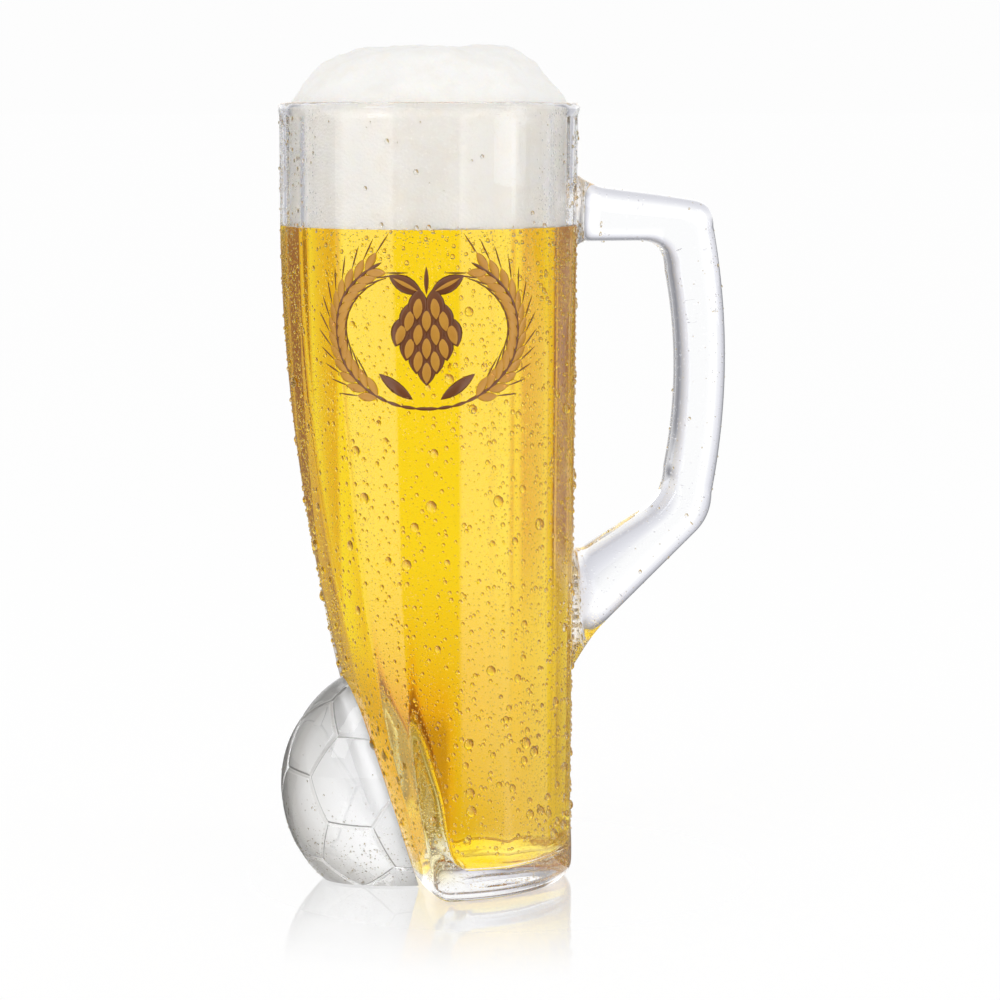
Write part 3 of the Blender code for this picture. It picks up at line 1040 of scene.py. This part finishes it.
foam_rings = [ring(z, wall_at(z) + WETTED) for z in spread(BEER_LEVEL - 0.0003, HEIGHT - lip, 26)]
foam_bottom = foam_rings[0]
middle = foam_bottom.mean(0)
foam_rings = [middle + (foam_bottom - middle) * share for share in spread(0.1, 0.9, 6)] + foam_rings
edge = ring(HEIGHT, RIM_WALL + 0.0003)
for share in 1.0 - np.linspace(0.0, 0.985, 60)[1:] ** 1.4:
    rise = DOME_HEIGHT * (1.0 - share**DOME_POWER) ** DOME_SOFTNESS
    foam_rings.append(edge * np.array([share, share, 0.0]) + np.array([0.0, 0.0, HEIGHT + rise]))
foam_points, foam_faces = loft(foam_rings)
free = between(foam_points[:, 2], HEIGHT, HEIGHT + 0.004)
push = 0.00055 * lumps(foam_points, 3, 0.016) + 0.00022 * lumps(foam_points, 4, 0.005)
outward = foam_points - np.array([0.0, 0.0, HEIGHT - 0.03])
outward /= np.linalg.norm(outward, axis=1)[:, None]
foam_points = foam_points + outward * (push * free)[:, None]

foam_look, foam_tree, foam_shader = principled(
    "beer_foam",
    Roughness=0.75,
    Subsurface_Weight=0.5,
    Subsurface_Scale=0.004,
    Subsurface_Radius=(1.0, 0.85, 0.65),
    IOR=1.33,
)
creamy = fade(foam_tree, noise(foam_tree, 160.0, 4.0), 0.4, 0.7, 0.0, 1.0)
tint = choose(foam_tree, creamy, (0.925, 0.895, 0.85), (0.95, 0.93, 0.90))
cells = {"Vector": object_place(foam_tree), "Scale": FOAM_CELLS}
bubbles = add_node(foam_tree, "ShaderNodeTexVoronoi", cells).outputs["Distance"]
foam_bump = add_node(foam_tree, "ShaderNodeBump", {"Strength": 0.35, "Distance": 0.0003, "Height": bubbles})
plug(foam_shader, Base_Color=tint, Normal=foam_bump.outputs["Normal"])
foam = add_object("foam_cap", foam_points, foam_faces, foam_look)
settle(foam, "foam", "foam_head")

# %% [markdown]
# ## Helpers for Geometry Nodes
# Drops and prints are one small shape repeated many times. A Geometry Nodes tree puts the shape on every
# point and makes one mesh of it, and that mesh is kept as a plain piece. Both trees share these steps.

# %% Write the tree helpers
GEOMETRY = "NodeSocketGeometry"


def start_tree(name, sizes):
    """A Geometry Nodes tree with a geometry in and out and one named input for each size."""
    tree = bpy.data.node_groups.new(name, "GeometryNodeTree")
    tree.interface.new_socket("Geometry", in_out="INPUT", socket_type=GEOMETRY)
    for label, value in sizes.items():
        kind = "NodeSocketInt" if isinstance(value, int) else "NodeSocketFloat"
        tree.interface.new_socket(label, in_out="INPUT", socket_type=kind).default_value = value
    tree.interface.new_socket("Geometry", in_out="OUTPUT", socket_type=GEOMETRY)
    return tree, tree.nodes.new("NodeGroupInput"), tree.nodes.new("NodeGroupOutput")


def grow(name, source, tree, sizes):
    """Runs a tree on the source object, keeps the result as a plain mesh piece, removes the source."""
    modifier = source.modifiers.new(tree.name, "NODES")
    modifier.node_group = tree
    for item in tree.interface.items_tree:
        if item.in_out == "INPUT" and item.name in sizes:
            modifier[item.identifier] = sizes[item.name]
    made = place_object(name, finished(source, name))
    bpy.data.objects.remove(source)
    return made


def point_axes(tree):
    place = add_node(tree, "GeometryNodeInputPosition").outputs[0]
    return add_node(tree, "ShaderNodeSeparateXYZ", {0: place}).outputs


def combined(tree, x, y, z):
    return add_node(tree, "ShaderNodeCombineXYZ", {"X": x, "Y": y, "Z": z}).outputs[0]


def named(tree, name):
    links = {"Name": name}
    return add_node(tree, "GeometryNodeInputNamedAttribute", links, data_type="FLOAT").outputs["Attribute"]


def reshaped(tree, shape, place):
    links = {"Geometry": shape, "Position": place}
    return add_node(tree, "GeometryNodeSetPosition", links).outputs["Geometry"]


def repeat(tree, outs, points, shape, rotation, scale, look):
    """Ends a tree: a shape on each point, made one smooth mesh with this material."""
    links = {"Points": points, "Instance": shape, "Rotation": rotation, "Scale": scale}
    made = add_node(tree, "GeometryNodeInstanceOnPoints", links).outputs["Instances"]
    for kind in ("GeometryNodeRealizeInstances", "GeometryNodeSetShadeSmooth"):
        made = add_node(tree, kind, {"Geometry": made}).outputs["Geometry"]
    dressed = add_node(tree, "GeometryNodeSetMaterial", {"Geometry": made, "Material": look})
    tree.links.new(dressed.outputs["Geometry"], outs.inputs["Geometry"])


print("tree helpers written")

# %% [markdown]
# ## Dew drops
# Water gathers into drops on the cold glass. Each is a low round cap that leans and sags a little.
# Geometry Nodes scatter points over a copy of the skin, put a cap on each, turned to the surface and
# sized at random from a fixed seed, and make one mesh of them. A drop in front of a bright wall is light
# on one side and dark on the other, so each cap also carries a shade for its colour.

# %% Build the drop tree
DROP_SHADE = ((0.0, (1.0, 1.0, 1.0)), (0.50, (0.62, 0.45, 0.17)), (0.92, (0.20, 0.11, 0.02)))


def drop_tree(name, look, segments, rows):
    """A tree that scatters leaning caps over a mesh, more where it is marked for dew."""
    sizes = {"Spacing": 0.001, "Density": 1e5, "Smallest": 0.0002, "Largest": 0.0008}
    tree, ins, outs = start_tree(name, {**sizes, "Height": 0.75, "Lean": 0.5, "Seed": 1})
    size = ins.outputs
    links = {
        "Mesh": size["Geometry"],
        "Distance Min": size["Spacing"],
        "Density Max": size["Density"],
        "Density Factor": named(tree, "dew"),
        "Seed": size["Seed"],
    }
    spots = add_node(tree, "GeometryNodeDistributePointsOnFaces", links, distribute_method="POISSON").outputs
    cap = add_node(tree, "GeometryNodeMeshUVSphere", {"Segments": segments, "Rings": rows, "Radius": 1.0})
    axes = point_axes(tree)
    aslant = calc(tree, "MULTIPLY_ADD", axes["X"], 0.8, calc(tree, "MULTIPLY", axes["Y"], 0.6))
    links = {"Geometry": cap.outputs["Mesh"], "Name": "shade", "Value": aslant}
    shaded = add_node(tree, "GeometryNodeStoreNamedAttribute", links, data_type="FLOAT", domain="POINT")
    tall = calc(tree, "MULTIPLY", calc(tree, "MAXIMUM", axes["Z"], -0.2), size["Height"])
    lean = calc(tree, "MULTIPLY_ADD", tall, size["Lean"], axes["X"])
    sag = calc(tree, "MULTIPLY_ADD", tall, -0.25, calc(tree, "MULTIPLY", axes["Y"], 1.15))
    leaning = reshaped(tree, shaded.outputs["Geometry"], combined(tree, lean, sag, tall))
    links = {"Primary Axis": spots["Normal"], "Secondary Axis": (0.0, 0.0, 1.0)}
    upright = add_node(tree, "FunctionNodeAxesToRotation", links, primary_axis="Z", secondary_axis="Y")
    chance = add_node(tree, "FunctionNodeRandomValue", {"Seed": size["Seed"]}, data_type="FLOAT")
    rare = calc(tree, "POWER", chance.outputs[1], 2.6)
    reach = add_node(tree, "ShaderNodeMapRange", {0: rare, 3: size["Smallest"], 4: size["Largest"]})
    repeat(tree, outs, spots["Points"], leaning, upright.outputs["Rotation"], reach.outputs[0], look)
    return tree


water, water_tree, water_shader = principled(
    "dew_water", Base_Color=(1.0, 1.0, 1.0, 1.0), Roughness=0.0, Transmission_Weight=1.0, IOR=1.333
)
plug(water_shader, Base_Color=colour_ramp(water_tree, marked(water_tree, "shade"), DROP_SHADE))
fine_drops = drop_tree("fine_drops", water, 6, 4)
large_drops = drop_tree("large_drops", water, 10, 6)
print("drop trees built")

# %% [markdown]
# ## Dew on the mug
# Fine drops cover the wall where the beer cools it, and fewer, larger ones hang among them, most in
# the lower half. The scatter runs over the outer skin alone, with less weight where the ball stands.

# %% Scatter the dew
def scatter(name, source, tree, spacing, density, smallest, largest, seed):
    """Drops over the source, as one piece on the mug."""
    sizes = {"Spacing": spacing, "Density": density, "Smallest": smallest, "Largest": largest, "Seed": seed}
    settle(grow(name, source, tree, sizes), "clear_glass")


def dew_skin(name, weight):
    """The outside of the glass without its foot and lip, with a weight for each point."""
    points, faces = loft(skin_rings(0.0, 0.012, HEIGHT - 0.004, 60))
    source = add_object(name, points, [f for f in faces if len(f) == 4])
    mark(source, "dew", weight(points_of(source.data) - np.array(AXIS)))
    return source


def off_the_ball(places):
    """Full weight in front, next to none at the back, to keep the piece light, and none under the ball."""
    press = np.array([1.0, BALL_RADIUS / BALL_DEPTH, 1.0])
    apart = np.linalg.norm((places - np.array([-BALL_OFFSET, 0.0, BALL_HEIGHT])) * press, axis=1)
    return between(apart, BALL_RADIUS, BALL_RADIUS + 0.001) * np.clip(0.75 - places[:, 1] / 0.024, 0.02, 1.0)


def fine_weight(places):
    """Over the foam, dew stays mostly at the sides, away from the warm lips in front."""
    beside = 0.05 + 0.45 * between(np.abs(places[:, 0]), 0.031, 0.035)
    return off_the_ball(places) * np.where(places[:, 2] < BEER_LEVEL, 1.0, beside)


def large_weight(places):
    return off_the_ball(places) * np.clip(1.15 - places[:, 2] / 0.16, 0.0, 1.0)


scatter("dew_fine", dew_skin("fine_source", fine_weight), fine_drops, 0.0010, 4.2e5, 0.00013, 0.00066, 5)
scatter("dew_large", dew_skin("large_source", large_weight), large_drops, 0.0030, 2.6e4, 0.0005, 0.0014, 9)

# %% [markdown]
# ## Dew on the handle and the ball
# A warm hand keeps the handle nearly dry, so only a few drops hang there. The lower panels of the ball
# carry a fine even mist of beads. The same tree does both, on copies of the finished pieces.

# %% Scatter the last drops
def copy_of(piece, name, weight):
    """A copy of the piece to scatter on, with a weight for each point."""
    source = place_object(name, piece.data.copy())
    source.data.attributes.remove(source.data.attributes["dew"])
    mark(source, "dew", weight(points_of(source.data) - np.array(AXIS)))
    return source


def off_the_root(places):
    return between(places[:, 0], RIM_RADIUS + 0.001, RIM_RADIUS + 0.003)


def low_on_ball(places):
    free = between(places[:, 0], 0.010 - BALL_OFFSET, 0.006 - BALL_OFFSET)
    return free * np.clip(1.2 - places[:, 2] / 0.020, 0.04, 1.0) * (places[:, 2] > 0.0008)


on_handle = copy_of(handle, "handle_source", off_the_root)
scatter("dew_handle", on_handle, fine_drops, 0.0022, 1.6e4, 0.00014, 0.00055, 3)
on_ball = copy_of(ball, "ball_source", low_on_ball)
scatter("dew_ball", on_ball, fine_drops, 0.0006, 9.0e5, 0.00010, 0.00028, 7)

# %% [markdown]
# ## The emblem on the front
# Breweries fire a coloured print onto the outside of a mug. This one is a plain wreath of barley round
# a hop cone, the two plants that beer is made of. Every grain, leaf and scale is the same pointed lens,
# so Geometry Nodes put one lens on each point of a flat drawing, with its own turn, length and width.

# %% Build the lens tree
MARK_SIZES = ("turn", "long", "wide", "high")


def lens_tree():
    """A tree that puts a pointed lens on every point, by its turn, long, wide and high attributes."""
    tree, ins, outs = start_tree("lens_marks", {"Point": 0.45})
    tree.interface.new_socket("Look", in_out="INPUT", socket_type="NodeSocketMaterial")
    ball_shape = add_node(tree, "GeometryNodeMeshUVSphere", {"Segments": 8, "Rings": 10, "Radius": 1.0})
    axes = point_axes(tree)
    left = calc(tree, "SUBTRACT", 1.0001, calc(tree, "MULTIPLY", axes["Z"], axes["Z"]))
    taper = calc(tree, "POWER", left, ins.outputs["Point"])
    side, tall = (calc(tree, "MULTIPLY", axes[label], taper) for label in "XY")
    shape = reshaped(tree, ball_shape.outputs["Mesh"], combined(tree, axes["Z"], side, tall))
    turn, *sizes = (named(tree, label) for label in MARK_SIZES)
    turned, stretch = combined(tree, 0.0, 0.0, turn), combined(tree, *sizes)
    repeat(tree, outs, ins.outputs["Geometry"], shape, turned, stretch, ins.outputs["Look"])
    return tree


lens_marks = lens_tree()
print("lens tree built")

# %% [markdown]
# ## The drawing
# The drawing is a list of marks in millimetres. Each half of the wreath is the mirror of the other, and
# the cone is rows of scales that overlap upwards, so loops write both.

# %% Draw the wreath and the cone
WREATH = (24.5, 19.0)
MARK_HEIGHT = 1.6e-4
LAYER = 4e-5


def lens(u, v, turn, long, wide, level=0, side=1.0):
    """One mark in millimetres, turned in degrees, on a numbered layer, mirrored where side is -1."""
    way = math.radians(turn if side > 0.0 else 180.0 - turn)
    return (side * u / 1e3, v / 1e3, level * LAYER, way, long / 2e3, wide / 2e3, MARK_HEIGHT)


def on_wreath(degrees):
    """A place on the wreath's oval, and the way the oval runs there, in degrees."""
    lean = math.radians(degrees)
    way = math.atan2(WREATH[1] * math.cos(lean), -WREATH[0] * math.sin(lean))
    return WREATH[0] * math.cos(lean), WREATH[1] * math.sin(lean), math.degrees(way)


def wreath_marks():
    """Two ears of barley: grains in pairs, each with its awn, along a stalk, and a leaf below."""
    grains, stalks = [], []
    for side in (-1.0, 1.0):
        for step in range(13):
            u, v, way = on_wreath(-52.0 + 9.0 * step)
            normal = math.radians(way - 90.0)
            for fan, off in ((-27.0, 1.55), (27.0, -1.55)):
                gu, gv = u + off * math.cos(normal), v + off * math.sin(normal)
                grains.append(lens(gu, gv, way + fan, 5.6, 2.3, 1, side))
                tip = math.radians(way + fan)
                au, av = gu + 5.4 * math.cos(tip), gv + 5.4 * math.sin(tip)
                stalks.append(lens(au, av, way + fan, 6.6, 0.42, 0, side))
            stalks.append(lens(u, v, way, 5.4, 0.9, 0, side))
        for step in range(5):
            stalks.append(lens(*on_wreath(-88.0 + 9.0 * step), 5.0, 0.9, 0, side))
        stalks.append(lens(8.0, -13.6, 35.0, 11.0, 3.0, 0, side))
    return grains, stalks


def cone_marks():
    """A hop cone: rows of scales, each with a lighter vein, under two leaves and a stem."""
    scales, veins = [], []
    rows = ((-9.2, 1), (-6.4, 2), (-3.2, 3), (0.2, 4), (3.6, 3), (6.6, 2))
    for level, (v, count) in enumerate(rows):
        for i in range(count):
            off = i - (count - 1) / 2.0
            scales.append(lens(4.3 * off, v, -90.0 + 13.0 * off, 8.2, 5.0, 2 * level + 1))
            veins.append(lens(4.3 * off, v - 0.7, -90.0 + 13.0 * off, 5.6, 2.6, 2 * level + 3))
    for side in (-1.0, 1.0):
        scales.append(lens(5.2, 11.6, 28.0, 9.6, 4.2, 8, side))
        veins.append(lens(5.2, 11.6, 28.0, 7.0, 1.0, 12, side))
    scales.append(lens(0.0, 12.6, 90.0, 7.0, 1.2, 7))
    return scales, veins


grains, stalks = wreath_marks()
scales, veins = cone_marks()
print(len(grains + stalks), "marks in the wreath and", len(scales + veins), "in the cone")

# %% [markdown]
# ## Firing the emblem
# The drawing has two colours, brown enamel and gold enamel, as one piece each. The flat lenses are laid
# round the wall by casting a ray at the glass for every point.

# %% Lay the emblem on the wall
EMBLEM_HEIGHT = 0.1440
EMBLEM_FACING = math.radians(-101.25)
EMBLEM_LIFT = 0.00010


def drawing(name, marks):
    """A mesh of loose points, one for each mark, that carries the marks' sizes."""
    table = np.array(marks)
    mesh = bpy.data.meshes.new(name)
    mesh.from_pydata(table[:, :3].tolist(), [], [])
    source = place_object(name, mesh)
    for column, label in enumerate(MARK_SIZES, 3):
        mark(source, label, table[:, column])
    return source


def wrap_on_glass(piece):
    """Bends a flat drawing round the mug: its x runs round the wall, its y up and its z outwards."""
    bpy.context.view_layer.update()
    placed = []
    for u, v, rise in points_of(piece.data):
        angle = EMBLEM_FACING + u / RIM_RADIUS
        out = Vector((math.cos(angle), math.sin(angle), 0.0))
        start = AXIS + out * 0.1 + Vector((0.0, 0.0, EMBLEM_HEIGHT + v))
        _, spot, _, _ = body.ray_cast(start, -out)
        placed.append(spot + out * max(rise + EMBLEM_LIFT, 0.00002))
    piece.data.vertices.foreach_set("co", np.array(placed).ravel())
    piece.data.update()


def enamel(name, dark, light):
    look, tree, shader = principled(name, Roughness=0.3, IOR=1.5)
    shade = colour_ramp(tree, noise(tree, 240.0, 4.0), ((0.0, dark), (0.68, light)))
    plug(shader, Base_Color=shade)
    return look


for name, marks, dark, light in (
    ("emblem_brown", stalks + scales, (0.10, 0.026, 0.004), (0.17, 0.05, 0.008)),
    ("emblem_gold", grains + veins, (0.42, 0.17, 0.012), (0.56, 0.27, 0.025)),
):
    piece = grow(name, drawing(name + "_points", marks), lens_marks, {"Look": enamel(name, dark, light)})
    wrap_on_glass(piece)
    settle(piece, None)
